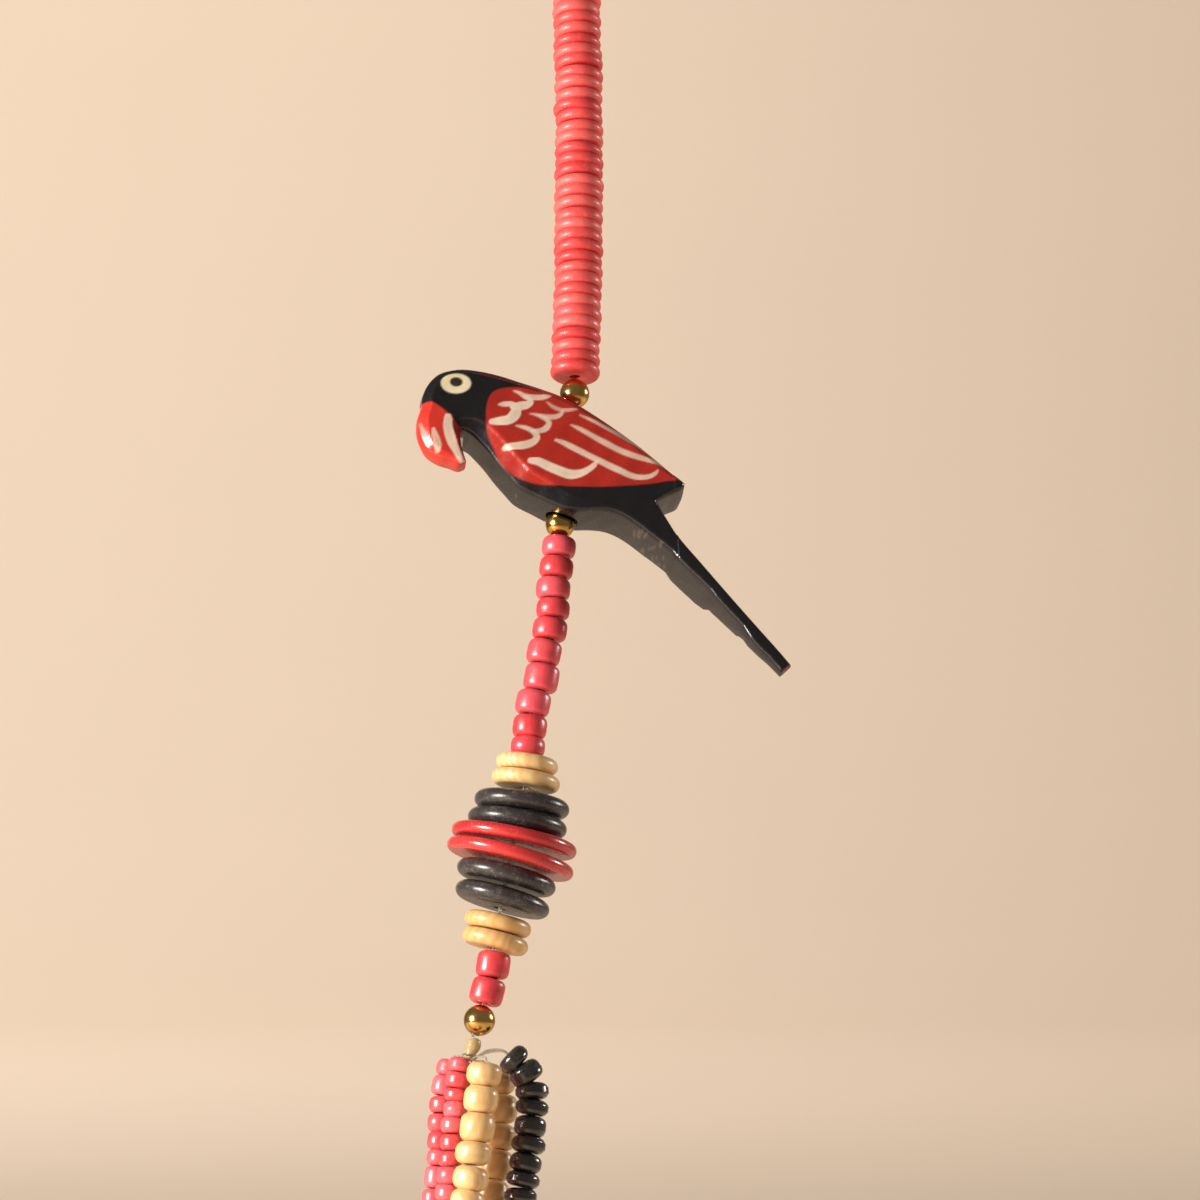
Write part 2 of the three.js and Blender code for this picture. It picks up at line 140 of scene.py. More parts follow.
def strand_path(row):
    p0, p1, p2, low, off = row[:5]
    left = [p0, p1, p2]
    right = [(side_x(-1, x), z) for x, z in left][::-1]
    xl, xr = p2[0], side_x(-1, p2[0])
    w, mid, sag = (xl - xr) / 2, (xl + xr) / 2, p2[1] - low
    a = 2.0
    for _ in range(60):
        a = math.acosh(1 + a * sag / w)
    c = w / a
    half = c * math.sinh(a)
    mids = []
    for i in range(1, 12):
        s = half * (1 - 2 * i / 12)
        x = c * math.asinh(s / c)
        mids.append((mid + x, low + c * (math.cosh(x / c) - 1)))
    return Path(catmull([(x, chest_y(abs(x), z) + off, z) for x, z in left + mids + right]))


# ---------------------------------------------------------------- mesh making
def make_object(name, co_mm, faces, mats, smooth=True, attrs=None, mat_index=None, sharp_deg=None):
    me = bpy.data.meshes.new(name)
    co = np.asarray(co_mm, float) * MM
    me.from_pydata(co.tolist(), [], faces if isinstance(faces, list) else faces.tolist())
    me.validate()
    for m in mats:
        me.materials.append(m)
    for key, (kind, domain, data) in (attrs or {}).items():
        a = me.attributes.new(key, kind, domain)
        field = "vector" if kind == "FLOAT_VECTOR" else "color" if kind == "FLOAT_COLOR" else "value"
        a.data.foreach_set(field, np.asarray(data, np.float32).ravel())
    if mat_index is not None:
        me.polygons.foreach_set("material_index", np.asarray(mat_index, np.int32))
    me.polygons.foreach_set("use_smooth", [smooth] * len(me.polygons))
    if sharp_deg:
        me.set_sharp_from_angle(angle=math.radians(sharp_deg))
    me.update()
    o = bpy.data.objects.new(name, me)
    bpy.context.scene.collection.objects.link(o)
    return o


def revolve(profile, segs):
    """Closed profile (radius, height) turned about z: vertices and quads, facing out."""
    pr = np.array(profile, float)
    n = len(pr)
    ang = np.arange(segs) * 2 * math.pi / segs
    co = np.zeros((segs, n, 3))
    co[:, :, 0] = np.cos(ang)[:, None] * pr[None, :, 0]
    co[:, :, 1] = np.sin(ang)[:, None] * pr[None, :, 0]
    co[:, :, 2] = pr[None, :, 1]
    faces = []
    for i in range(segs):
        j = (i + 1) % segs
        for k in range(n):
            l = (k + 1) % n
            faces.append((i * n + k, j * n + k, j * n + l, i * n + l))
    return co.reshape(-1, 3), np.array(faces)


def arc(cx, cy, r, a0, a1, n, ry=None):
    ry = ry or r
    return [(cx + r * math.cos(math.radians(a0 + (a1 - a0) * i / n)), cy + ry * math.sin(math.radians(a0 + (a1 - a0) * i / n))) for i in range(n + 1)]


def profile_disc(R, h, rim, bore=0.85, n=7, dish=0.0):
    """A flat wooden disc with a rounded rim; h is half the thickness, rim how deep the rounding goes in."""
    lower = [(bore, -h + 0.15), (bore + 0.2, -h + 0.02), (R * 0.55, -h + dish)]
    upper = [(R * 0.55, h - dish), (bore + 0.2, h - 0.02), (bore, h - 0.15)]
    return lower + arc(R - rim, 0, rim, -90, 90, 2 * n, ry=h) + upper


def profile_barrel(R, h, corner, bore=0.95, n=5, belly=0.0):
    c = corner
    lower = [(bore, -h + 0.3), (bore + 0.22, -h + 0.05), (R - c, -h)]
    side = arc(R - c, -h + c, c, -90, 0, n)[1:] + [(R + belly, -h * 0.35), (R + belly, h * 0.35)] + arc(R - c, h - c, c, 0, 90, n)
    return lower + side + [(bore + 0.22, h - 0.05), (bore, h - 0.3)]


def profile_ball(R, bore=0.7, n=22):
    a = math.degrees(math.asin(bore / R))
    return arc(0, 0, R, -90 + a, 90 - a, n)


def up_axis(s, roll, pitch):
    v = np.array([s * math.sin(math.radians(roll)), math.sin(math.radians(pitch)), math.cos(math.radians(roll)) * math.cos(math.radians(pitch))])
    return v / np.linalg.norm(v)


def frame_from(up, spin):
    up = np.array(up) / np.linalg.norm(up)
    ref = np.array([1.0, 0, 0]) if abs(up[0]) < 0.9 else np.array([0, 1.0, 0])
    a = ref - up * ref.dot(up)
    a /= np.linalg.norm(a)
    b = np.cross(up, a)
    c, s = math.cos(spin), math.sin(spin)
    return np.stack([a * c + b * s, b * c - a * s, up], axis=1)


def string_of(name, beads, mats, segs):
    """Joined beads. Each bead: (centre, up, profile, spin, radial scale, var)."""
    cos, fcs, loc, var, base = [], [], [], [], 0
    for centre, up, profile, spin, (sx, sy), v in beads:
        co, faces = revolve(profile, segs)
        local = co * np.array([sx, sy, 1.0])
        M = frame_from(up, spin)
        cos.append(local @ M.T + np.array(centre))
        fcs.append(faces + base)
        base += len(co)
        off = np.array([math.sin(v * 91.7), math.cos(v * 57.3), math.sin(v * 33.1 + 2)]) * 20
        loc.append(co + off)
        var.append(np.full(len(co), v))
    return make_object(name, np.concatenate(cos), np.concatenate(fcs), mats, attrs={
        "bead_co": ("FLOAT_VECTOR", "POINT", np.concatenate(loc)),
        "bead_var": ("FLOAT", "POINT", np.concatenate(var))}, sharp_deg=50)


def place(piece, slot, *nodes):
    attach(piece, "root")
    if nodes:
        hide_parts(*nodes)


# ---------------------------------------------------------------- materials
def new_mat(name):
    m = bpy.data.materials.new(name)
    m.use_nodes = True
    nt = m.node_tree
    nt.nodes.clear()
    out = nt.nodes.new("ShaderNodeOutputMaterial")
    b = nt.nodes.new("ShaderNodeBsdfPrincipled")
    nt.links.new(b.outputs[0], out.inputs[0])
    return m, nt, b


def node(nt, kind, **kw):
    n = nt.nodes.new(kind)
    for k, v in kw.items():
        if k == "inputs":
            for a, x in v.items():
                n.inputs[a].default_value = x
        else:
            setattr(n, k, v)
    return n


def link(nt, a, b):
    nt.links.new(a, b)


def ramp(nt, src, stops):
    r = node(nt, "ShaderNodeValToRGB")
    e = r.color_ramp.elements
    while len(e) > 1:
        e.remove(e[0])
    e[0].position, e[0].color = stops[0][0], (*stops[0][1], 1)
    for p, c in stops[1:]:
        x = e.new(p)
        x.color = (*c, 1)
    link(nt, src, r.inputs[0])
    return r.outputs[0]


def mix(nt, fac, a, b, mode="MIX"):
    m = node(nt, "ShaderNodeMix", data_type="RGBA", blend_type=mode)
    for sock, val in ((m.inputs[0], fac), (m.inputs[6], a), (m.inputs[7], b)):
        if isinstance(val, (int, float)):
            sock.default_value = val
        elif isinstance(val, tuple):
            sock.default_value = (*val, 1) if len(val) == 3 else val
        else:
            link(nt, val, sock)
    return m.outputs[2]


def maths(nt, op, a, b=None, c=None, clamp=False):
    m = node(nt, "ShaderNodeMath", operation=op, use_clamp=clamp)
    for i, val in enumerate((a, b, c)):
        if val is None:
            continue
        if isinstance(val, (int, float)):
            m.inputs[i].default_value = val
        else:
            link(nt, val, m.inputs[i])
    return m.outputs[0]


def maprange(nt, src, a, b, lo, hi):
    m = node(nt, "ShaderNodeMapRange", inputs={1: a, 2: b, 3: lo, 4: hi})
    link(nt, src, m.inputs[0])
    return m.outputs[0]


def bead_coords(nt):
    return node(nt, "ShaderNodeAttribute", attribute_type="GEOMETRY", attribute_name="bead_co").outputs["Vector"], \
        node(nt, "ShaderNodeAttribute", attribute_type="GEOMETRY", attribute_name="bead_var").outputs["Fac"]


def scaled(nt, vec, s):
    m = node(nt, "ShaderNodeMapping", inputs={3: s})
    link(nt, vec, m.inputs[0])
    return m.outputs[0]


def noise(nt, vec, scale, detail=3, rough=0.5):
    n = node(nt, "ShaderNodeTexNoise", inputs={"Scale": scale, "Detail": detail, "Roughness": rough})
    link(nt, vec, n.inputs["Vector"])
    return n.outputs["Fac"]


def bump(nt, b, height, strength, dist):
    n = node(nt, "ShaderNodeBump", inputs={"Strength": strength, "Distance": dist})
    link(nt, height, n.inputs["Height"])
    link(nt, n.outputs[0], b.inputs["Normal"])


def stained_wood(name, base, deep, pale, rough, grain=0.35, coat=0.0, spec=0.5, dust=0.0, dustcol=(0.8, 0.6, 0.55), bumpy=0.12, lo_r=-0.06, hi_r=0.1, coat_rough=0.12):
    """Dyed or painted wood bead: fine end grain along the bore, a tone of its own for each bead, and dust or rub."""
    m, nt, b = new_mat(name)
    co, var = bead_coords(nt)
    streak = noise(nt, scaled(nt, co, (2.6, 2.6, 0.45)), 1.0, 5, 0.6)
    cloud = noise(nt, co, 0.35, 3)
    c = mix(nt, maprange(nt, cloud, 0.3, 0.7, 0, 1), base, deep)
    c = mix(nt, maths(nt, "MULTIPLY", maprange(nt, streak, 0.45, 0.75, 0, 1), grain), c, deep)
    c = mix(nt, maprange(nt, var, 0, 1, 0, 0.55), c, pale)
    if dust:
        d = noise(nt, co, 2.2, 6, 0.7)
        c = mix(nt, maths(nt, "MULTIPLY", maprange(nt, d, 0.58, 0.74, 0, 1), dust), c, dustcol)
    link(nt, c, b.inputs["Base Color"])
    link(nt, maprange(nt, noise(nt, co, 1.1, 4), 0.3, 0.7, rough + lo_r, rough + hi_r), b.inputs["Roughness"])
    b.inputs["Specular IOR Level"].default_value = spec
    b.inputs["Coat Weight"].default_value = coat
    b.inputs["Coat Roughness"].default_value = coat_rough
    h = maths(nt, "ADD", maths(nt, "MULTIPLY", streak, 0.7), maths(nt, "MULTIPLY", noise(nt, co, 3.0, 4), 0.5))
    bump(nt, b, h, bumpy, 0.0002)
    return m


def natural_wood(name, light, mid, dark, rough=0.36):
    m, nt, b = new_mat(name)
    co, var = bead_coords(nt)
    bend = node(nt, "ShaderNodeVectorMath", operation="ADD")
    wob = node(nt, "ShaderNodeTexNoise", inputs={"Scale": 0.22, "Detail": 2})
    link(nt, co, wob.inputs["Vector"])
    sc = node(nt, "ShaderNodeVectorMath", operation="SCALE", inputs={3: 2.4})
    link(nt, wob.outputs["Color"], sc.inputs[0])
    link(nt, co, bend.inputs[0])
    link(nt, sc.outputs[0], bend.inputs[1])
    rings = node(nt, "ShaderNodeTexWave", wave_type="BANDS", bands_direction="DIAGONAL", inputs={"Scale": 0.33, "Distortion": 1.6, "Detail": 3, "Detail Scale": 1.2})
    link(nt, scaled(nt, bend.outputs[0], (1, 1, 0.35)), rings.inputs["Vector"])
    fibre = noise(nt, scaled(nt, co, (5.0, 5.0, 0.5)), 1.0, 5, 0.65)
    c = mix(nt, maprange(nt, rings.outputs["Fac"], 0.2, 0.9, 0, 0.75), light, mid)
    c = mix(nt, maths(nt, "MULTIPLY", maprange(nt, fibre, 0.5, 0.8, 0, 1), 0.5), c, dark)
    c = mix(nt, maprange(nt, var, 0, 1, 0.0, 0.6), c, mid)
    link(nt, c, b.inputs["Base Color"])
    link(nt, maprange(nt, fibre, 0.3, 0.7, rough - 0.05, rough + 0.1), b.inputs["Roughness"])
    b.inputs["Coat Weight"].default_value = 0.35
    b.inputs["Coat Roughness"].default_value = 0.2
    b.inputs["Subsurface Weight"].default_value = 0.06
    b.inputs["Subsurface Radius"].default_value = (0.002, 0.001, 0.0005)
    b.inputs["Subsurface Scale"].default_value = 0.4
    bump(nt, b, fibre, 0.12, 0.0002)
    return m


def scuffed_black(name, rough, scuff, spec=0.5, coat=0.5):
    m, nt, b = new_mat(name)
    co, var = bead_coords(nt)
    n1 = noise(nt, co, 0.9, 6, 0.7)
    n2 = noise(nt, scaled(nt, co, (1, 1, 2.2)), 3.4, 5, 0.75)
    worn = maths(nt, "MULTIPLY", maprange(nt, n1, 0.5, 0.62, 0, 1), maprange(nt, n2, 0.52, 0.62, 0, 1))
    geo = node(nt, "ShaderNodeNewGeometry")
    edge = maprange(nt, geo.outputs["Pointiness"], 0.51, 0.56, 0, 0.5)
    c = mix(nt, maprange(nt, n1, 0.3, 0.7, 0, 1), (0.010, 0.009, 0.011), (0.024, 0.021, 0.023))
    c = mix(nt, maths(nt, "MULTIPLY", maths(nt, "ADD", worn, edge, clamp=True), scuff), c, (0.26, 0.21, 0.19))
    link(nt, c, b.inputs["Base Color"])
    r = maths(nt, "ADD", maprange(nt, n2, 0.35, 0.65, rough - 0.05, rough + 0.12), maths(nt, "MULTIPLY", worn, 0.35), clamp=True)
    link(nt, r, b.inputs["Roughness"])
    b.inputs["Specular IOR Level"].default_value = spec
    b.inputs["Coat Weight"].default_value = coat
    b.inputs["Coat Roughness"].default_value = 0.14
    bump(nt, b, maths(nt, "ADD", n2, maths(nt, "MULTIPLY", worn, -0.6)), 0.16, 0.0002)
    return m


def brass_mat():
    m, nt, b = new_mat("aged_brass")
    tc = node(nt, "ShaderNodeTexCoord")
    n1, n2 = noise(nt, tc.outputs["Object"], 260, 4), noise(nt, tc.outputs["Object"], 1400, 4, 0.65)
    c = mix(nt, maprange(nt, n1, 0.35, 0.7, 0, 1), (0.80, 0.52, 0.17), (0.55, 0.31, 0.08))
    c = mix(nt, maths(nt, "MULTIPLY", maprange(nt, n2, 0.6, 0.75, 0, 1), 0.5), c, (0.22, 0.12, 0.04))
    link(nt, c, b.inputs["Base Color"])
    b.inputs["Metallic"].default_value = 1.0
    link(nt, maprange(nt, n2, 0.35, 0.7, 0.13, 0.26), b.inputs["Roughness"])
    bump(nt, b, n1, 0.05, 0.0001)
    return m


def clear_thread(name, colour, trans, rough):
    m, nt, b = new_mat(name)
    tc = node(nt, "ShaderNodeTexCoord")
    n = noise(nt, tc.outputs["Object"], 900, 4)
    link(nt, mix(nt, n, colour, tuple(0.75 * c for c in colour)), b.inputs["Base Color"])
    link(nt, maprange(nt, n, 0.3, 0.7, rough, rough + 0.12), b.inputs["Roughness"])
    b.inputs["Transmission Weight"].default_value = trans
    b.inputs["IOR"].default_value = 1.5
    bump(nt, b, n, 0.25, 0.0002)
    return m


M_CORAL = stained_wood("coral_dyed_wood", (0.90, 0.088, 0.085), (0.66, 0.030, 0.035), (0.96, 0.19, 0.17), 0.44, grain=0.5, dust=0.35, dustcol=(0.95, 0.45, 0.40), coat=0.15, bumpy=0.3)
M_BARREL = stained_wood("red_stained_wood", (0.82, 0.062, 0.070), (0.55, 0.020, 0.028), (0.90, 0.14, 0.19), 0.33, grain=0.55, dust=0.2, dustcol=(0.92, 0.40, 0.42), coat=0.4, bumpy=0.2, coat_rough=0.25)
M_REDBEAD = stained_wood("rose_stained_wood", (0.84, 0.095, 0.105), (0.62, 0.035, 0.045), (0.93, 0.22, 0.27), 0.30, grain=0.4, dust=0.12, coat=0.4, bumpy=0.15, coat_rough=0.2)
M_REDDISC = stained_wood("red_painted_wood", (0.60, 0.026, 0.030), (0.42, 0.012, 0.016), (0.70, 0.05, 0.05), 0.27, grain=0.3, dust=0.35, dustcol=(0.85, 0.52, 0.36), coat=0.5, bumpy=0.14, coat_rough=0.14)
M_NATURAL = natural_wood("pale_lacquered_wood", (0.88, 0.62, 0.30), (0.76, 0.44, 0.17), (0.52, 0.25, 0.08))
M_TAN = natural_wood("tan_lacquered_wood", (0.80, 0.52, 0.22), (0.68, 0.36, 0.12), (0.44, 0.19, 0.05))
M_BLACKDISC = scuffed_black("scuffed_black_wood", 0.24, 0.8, coat=0.25)
M_BLACKBEAD = scuffed_black("glossy_black_wood", 0.13, 0.10, coat=0.8)
M_BRASS = brass_mat()
M_THREAD = clear_thread("clear_thread", (0.93, 0.86, 0.74), 0.75, 0.15)
M_GLUE = clear_thread("amber_glue", (0.86, 0.62, 0.30), 0.45, 0.25)

# ---------------------------------------------------------------- parrot
# The plank's own plane: u towards the tail, v up, w out of the front face; mm.
# Outline rows: u, v, corner, bevel width, bevel drop.
OUTLINE = [
    (-23.4, 7.2, 0, 1.6, 1.0), (-23.2, 8.9, 0, 1.6, 1.0), (-22.7, 10.3, 0, 1.5, .95), (-21.6, 11.9, 0, 1.4, .9), (-20.2, 13.0, 0, 1.3, .8),
    (-17.2, 13.7, 0, 1.2, .75), (-14.0, 13.4, 0, 1.2, .75), (-10.9, 12.6, 0, 1.2, .7), (-7.8, 11.5, 0, 1.1, .7), (-4.6, 10.35, 0, 1.0, .65),
    (-1.5, 9.05, 0, 1.0, .6), (1.6, 7.3, 0, 1.0, .6), (4.7, 5.1, 0, 1.0, .6), (7.8, 2.7, 0, 1.0, .6), (10.8, 0.2, 0, .9, .6),
    (13.9, -2.7, 0, .8, .55), (15.9, -4.65, 0, .7, .5), (17.3, -5.9, 0, .6, .45), (17.7, -6.5, 0, .5, .4), (17.2, -7.2, 0, .45, .35),
    (15.2, -8.1, 0, .45, .35), (13.0, -9.4, 1, .4, .3),
    (14.3, -12.0, 0, .4, .32), (16.3, -15.7, 0, .4, .32), (19.3, -19.8, 0, .4, .3), (22.2, -23.7, 0, .4, .3), (25.2, -27.7, 0, .35, .3),
    (28.1, -31.5, 0, .35, .28), (31.0, -35.3, 0, .3, .25), (32.6, -37.5, 1, .3, .25), (31.1, -38.8, 1, .3, .25),
    (29.4, -36.5, 0, .35, .25), (27.9, -34.8, 0, .35, .25), (26.5, -33.0, 1, .35, .25), (25.4, -30.9, 1, .35, .28), (23.5, -28.6, 0, .35, .28),
    (21.4, -26.0, 1, .35, .28), (20.6, -24.7, 1, .4, .28), (19.1, -23.0, 0, .4, .3), (17.6, -21.4, 0, .4, .3), (15.7, -19.3, 1, .4, .3),
    (15.0, -18.0, 1, .4, .3), (13.1, -16.3, 0, .4, .3), (11.6, -15.0, 0, .4, .3), (10.1, -13.7, 0, .4, .3), (8.6, -12.5, 0, .4, .3),
    (7.0, -11.5, 0, .45, .3), (5.3, -10.9, 0, .6, .32), (3.1, -10.7, 0, 1.2, .4), (0.7, -10.7, 0, 1.9, .55), (-1.5, -10.3, 0, 2.3, .8),
    (-3.9, -9.1, 0, 2.8, 1.25), (-5.8, -8.0, 0, 3.1, 1.6), (-8.6, -6.3, 0, 3.2, 1.75), (-10.1, -4.5, 0, 3.2, 1.75), (-11.6, -2.5, 0, 3.1, 1.7),
    (-13.0, -0.4, 0, 3.0, 1.6), (-14.5, 1.5, 0, 2.8, 1.5), (-15.7, 2.8, 0, 2.7, 1.4), (-17.4, 3.5, 1, 1.6, .9),
    (-17.6, 1.9, 0, .6, .45), (-17.5, 0.3, 0, .5, .4), (-17.2, -1.2, 0, .5, .35), (-16.85, -2.55, 1, .5, .35),
    (-17.9, -2.9, 0, .7, .5), (-19.4, -2.3, 0, .9, .6), (-20.9, -1.8, 0, 1.1, .7), (-22.2, -1.0, 0, 1.3, .85), (-23.1, -0.1, 0, 1.5, 1.0),
    (-23.7, 1.2, 0, 1.6, 1.1), (-24.1, 2.6, 0, 1.7, 1.1), (-24.2, 3.9, 0, 1.7, 1.1), (-24.0, 5.5, 0, 1.6, 1.05),
]
WING = [(-13.46, 4.38), (-13.38, 6.13), (-12.98, 7.88), (-12.46, 8.93), (-11.63, 9.63), (-10.18, 10.08), (-8.58, 10.17), (-6.99, 10.0), (-4.62, 9.55),
        (-3.4, 10.5), (5.5, 5.6), (14, -1.6), (18.4, -5.2), (16.95, -5.85),
        (14.98, -6.05), (12.08, -6.58), (8.88, -6.85), (4.1, -7.12), (-1.45, -6.96), (-3.82, -6.7), (-6.18, -6.19), (-8.2, -5.33), (-10.03, -3.95),
        (-11.38, -2.22), (-12.39, 0.04), (-13.24, 2.29)]
BEAK = [(-24.6, 7.3), (-23.32, 7.66), (-22.21, 7.75), (-21.12, 7.15), (-19.9, 6.1), (-18.84, 4.89), (-17.93, 3.85), (-17.0, 3.1),
        (-16.0, 1.0), (-16.0, -4.6), (-20, -5.0), (-26, -2.0), (-26, 7.0)]
EYE = (-17.94, 10.83, 2.38, 1.78)
PUPIL = (-17.87, 11.09, 1.03, 0.82)
# Brush strokes: name, paint cover, then (u, v, width) along each.
STROKES = [
    ('scallop_1', 1.00, [(-12.52, 4.13, 0.95), (-11.24, 4.22, 1.43), (-9.80, 4.48, 1.59), (-8.80, 5.45, 1.75), (-8.59, 6.50, 1.43), (-9.35, 7.19, 0.95), (-10.63, 7.19, 0.79), (-11.27, 7.15, 0.32)]),
    ('scallop_2', 1.00, [(-9.06, 6.67, 0.95), (-7.94, 6.85, 1.43), (-6.81, 7.12, 1.27), (-6.15, 7.55, 0.79), (-6.44, 8.08, 0.79), (-7.07, 8.43, 0.63)]),
    ('scallop_3', 0.80, [(-8.77, 9.56, 0.24), (-7.98, 9.21, 0.56), (-7.06, 8.60, 0.87), (-5.95, 8.38, 0.95), (-4.68, 8.38, 0.87), (-3.71, 8.53, 0.79), (-3.07, 8.65, 0.40)]),
    ('scallop_4', 0.93, [(-10.65, -0.22, 0.79), (-9.54, -0.13, 1.11), (-8.26, -0.04, 1.27), (-6.98, 0.23, 1.27), (-6.00, 0.75, 1.11), (-5.49, 1.45, 0.95), (-5.77, 2.15, 0.95), (-6.54, 2.75, 0.79), (-7.63, 3.19, 0.63), (-8.73, 3.44, 0.24)]),
    ('scallop_5', 0.82, [(-6.07, 2.58, 0.63), (-4.96, 2.58, 0.79), (-3.98, 3.02, 0.95), (-3.46, 3.90, 0.79), (-3.75, 4.51, 0.79), (-4.52, 4.94, 0.63), (-5.46, 5.37, 0.48), (-6.41, 5.54, 0.16)]),
    ('scallop_6', 0.70, [(-4.83, 5.29, 0.48), (-3.56, 5.03, 0.71), (-2.29, 5.04, 0.79), (-1.47, 5.48, 0.63), (-1.12, 6.09, 0.32)]),
    ('scallop_7', 0.55, [(-3.60, 7.57, 0.24), (-2.84, 6.87, 0.56), (-1.59, 6.26, 0.63), (-0.32, 6.18, 0.63), (1.13, 6.36, 0.32)]),
    ('feather_1', 1.00, [(-6.64, -2.64, 1.03), (-5.54, -2.81, 1.35), (-3.99, -3.58, 1.51), (-2.12, -4.45, 1.59), (-0.56, -4.96, 1.59), (1.04, -4.79, 1.27), (2.34, -4.17, 0.95), (3.34, -3.39, 0.79), (3.85, -2.69, 0.48)]),
    ('feather_2', 0.88, [(-2.49, 0.94, 0.48), (-1.40, 0.51, 0.79), (-0.01, -0.27, 0.95), (1.85, -1.31, 0.95), (3.86, -2.43, 0.95), (5.56, -3.38, 1.03), (7.42, -4.34, 1.03), (8.98, -5.11, 0.95), (10.55, -5.46, 0.87), (12.15, -5.28, 0.71), (13.14, -4.67, 0.56), (13.48, -4.23, 0.24)]),
    ('feather_3', 0.75, [(0.03, 3.56, 0.24), (1.12, 3.04, 0.63), (2.97, 1.91, 0.79), (4.98, 0.70, 0.95), (7.15, -0.60, 0.95), (9.48, -1.64, 0.95), (11.99, -2.41, 0.79), (13.87, -3.01, 0.63), (15.11, -3.71, 0.32)]),
    ('feather_4', 0.65, [(1.55, 5.31, 0.24), (2.80, 4.71, 0.48), (4.66, 3.75, 0.63), (6.68, 2.63, 0.71), (8.84, 1.24, 0.71), (10.84, -0.06, 0.63), (12.68, -1.54, 0.56), (14.20, -2.84, 0.48), (15.25, -3.97, 0.24)]),
    ('beak_1', 0.97, [(-19.47, 4.97, 1.11), (-19.49, 3.49, 1.59), (-19.36, 2.10, 1.59), (-19.02, 0.71, 1.51), (-18.37, -0.85, 1.27), (-17.71, -2.06, 1.11), (-17.13, -3.10, 0.63)]),
    ('beak_2', 0.85, [(-21.86, 2.87, 0.48), (-21.73, 2.09, 0.87), (-21.46, 1.05, 1.11), (-21.27, 0.01, 1.11), (-21.30, -0.69, 0.79)]),
    ('beak_3', 0.35, [(-23.87, 4.17, 0.24), (-23.38, 2.61, 0.56), (-22.80, 1.22, 0.63), (-22.36, 0.35, 0.48)]),
]
GRID = 0.2
BLACK, WINGRED, BEAKRED, CREAM = (0.009, 0.008, 0.010), (0.42, 0.024, 0.015), (0.62, 0.038, 0.024), (0.86, 0.75, 0.60)


def smooth_loop(rows, step):
    """Spline pieces between the corners of a closed outline, resampled evenly."""
    corners = [i for i, r in enumerate(rows) if r[2]]
    rows = rows[corners[0]:] + rows[:corners[0]] + [rows[corners[0]]]
    cut = [i for i, r in enumerate(rows) if r[2]]
    out = []
    for a, b in zip(cut, cut[1:]):
        seg = np.array([[r[0], r[1], r[3], r[4]] for r in rows[a:b + 1]])
        xy = catmull(seg[:, :2], 16)
        t = np.linspace(0, len(seg) - 1, len(xy))
        vals = np.stack([xy[:, 0], xy[:, 1], np.interp(t, range(len(seg)), seg[:, 2]), np.interp(t, range(len(seg)), seg[:, 3])], 1)
        L = np.concatenate([[0], np.cumsum(np.linalg.norm(np.diff(vals[:, :2], axis=0), axis=1))])
        n = max(2, int(round(L[-1] / step)))
        out.append(np.stack([np.interp(np.linspace(0, L[-1], n + 1)[:-1], L, vals[:, k]) for k in range(4)], 1))
    return np.concatenate(out)


def seg_dist(P, A, B):
    """Distance from each point to each segment, and where along it."""
    dist, along = np.zeros((len(P), len(A)), np.float32), np.zeros((len(P), len(A)), np.float32)
    d = B - A
    dd = np.maximum((d * d).sum(1), 1e-12)
    for k in range(0, len(P), 400):
        q = P[k:k + 400]
        x, y = q[:, :1] - A[None, :, 0], q[:, 1:2] - A[None, :, 1]
        t = np.clip((x * d[:, 0] + y * d[:, 1]) / dd, 0, 1)
        dist[k:k + 400] = np.hypot(x - t * d[:, 0], y - t * d[:, 1])
        along[k:k + 400] = t
    return dist, along


def inside(P, poly):
    x, y = P[:, 0], P[:, 1]
    c = np.zeros(len(P), bool)
    a, b = poly, np.roll(poly, -1, 0)
    for (x1, y1), (x2, y2) in zip(a, b):
        if y1 == y2:
            continue
        c ^= ((y1 > y) != (y2 > y)) & (x < (x2 - x1) * (y - y1) / (y2 - y1) + x1)
    return c


def thickness(P):
    """Plank thickness over its plane: full on the body, thin at the beak, stepped down along the tail."""
    u, v = P[:, 0], P[:, 1]
    tail = np.interp(u, [19.4, 20.6, 21.2, 25.1, 25.9, 29, 32.6], [9.7, 9.0, 7.0, 6.0, 4.3, 3.4, 2.2])
    beak = np.interp(v + 0.4 * (u + 17), [1.0, 5.5, 9.5], [4.6, 6.0, 9.4])
    body = np.full(len(P), 9.8)
    t = np.where(u > 12, np.minimum(body, tail), body)
    return np.where(u < -16.6, np.minimum(t, beak), t)


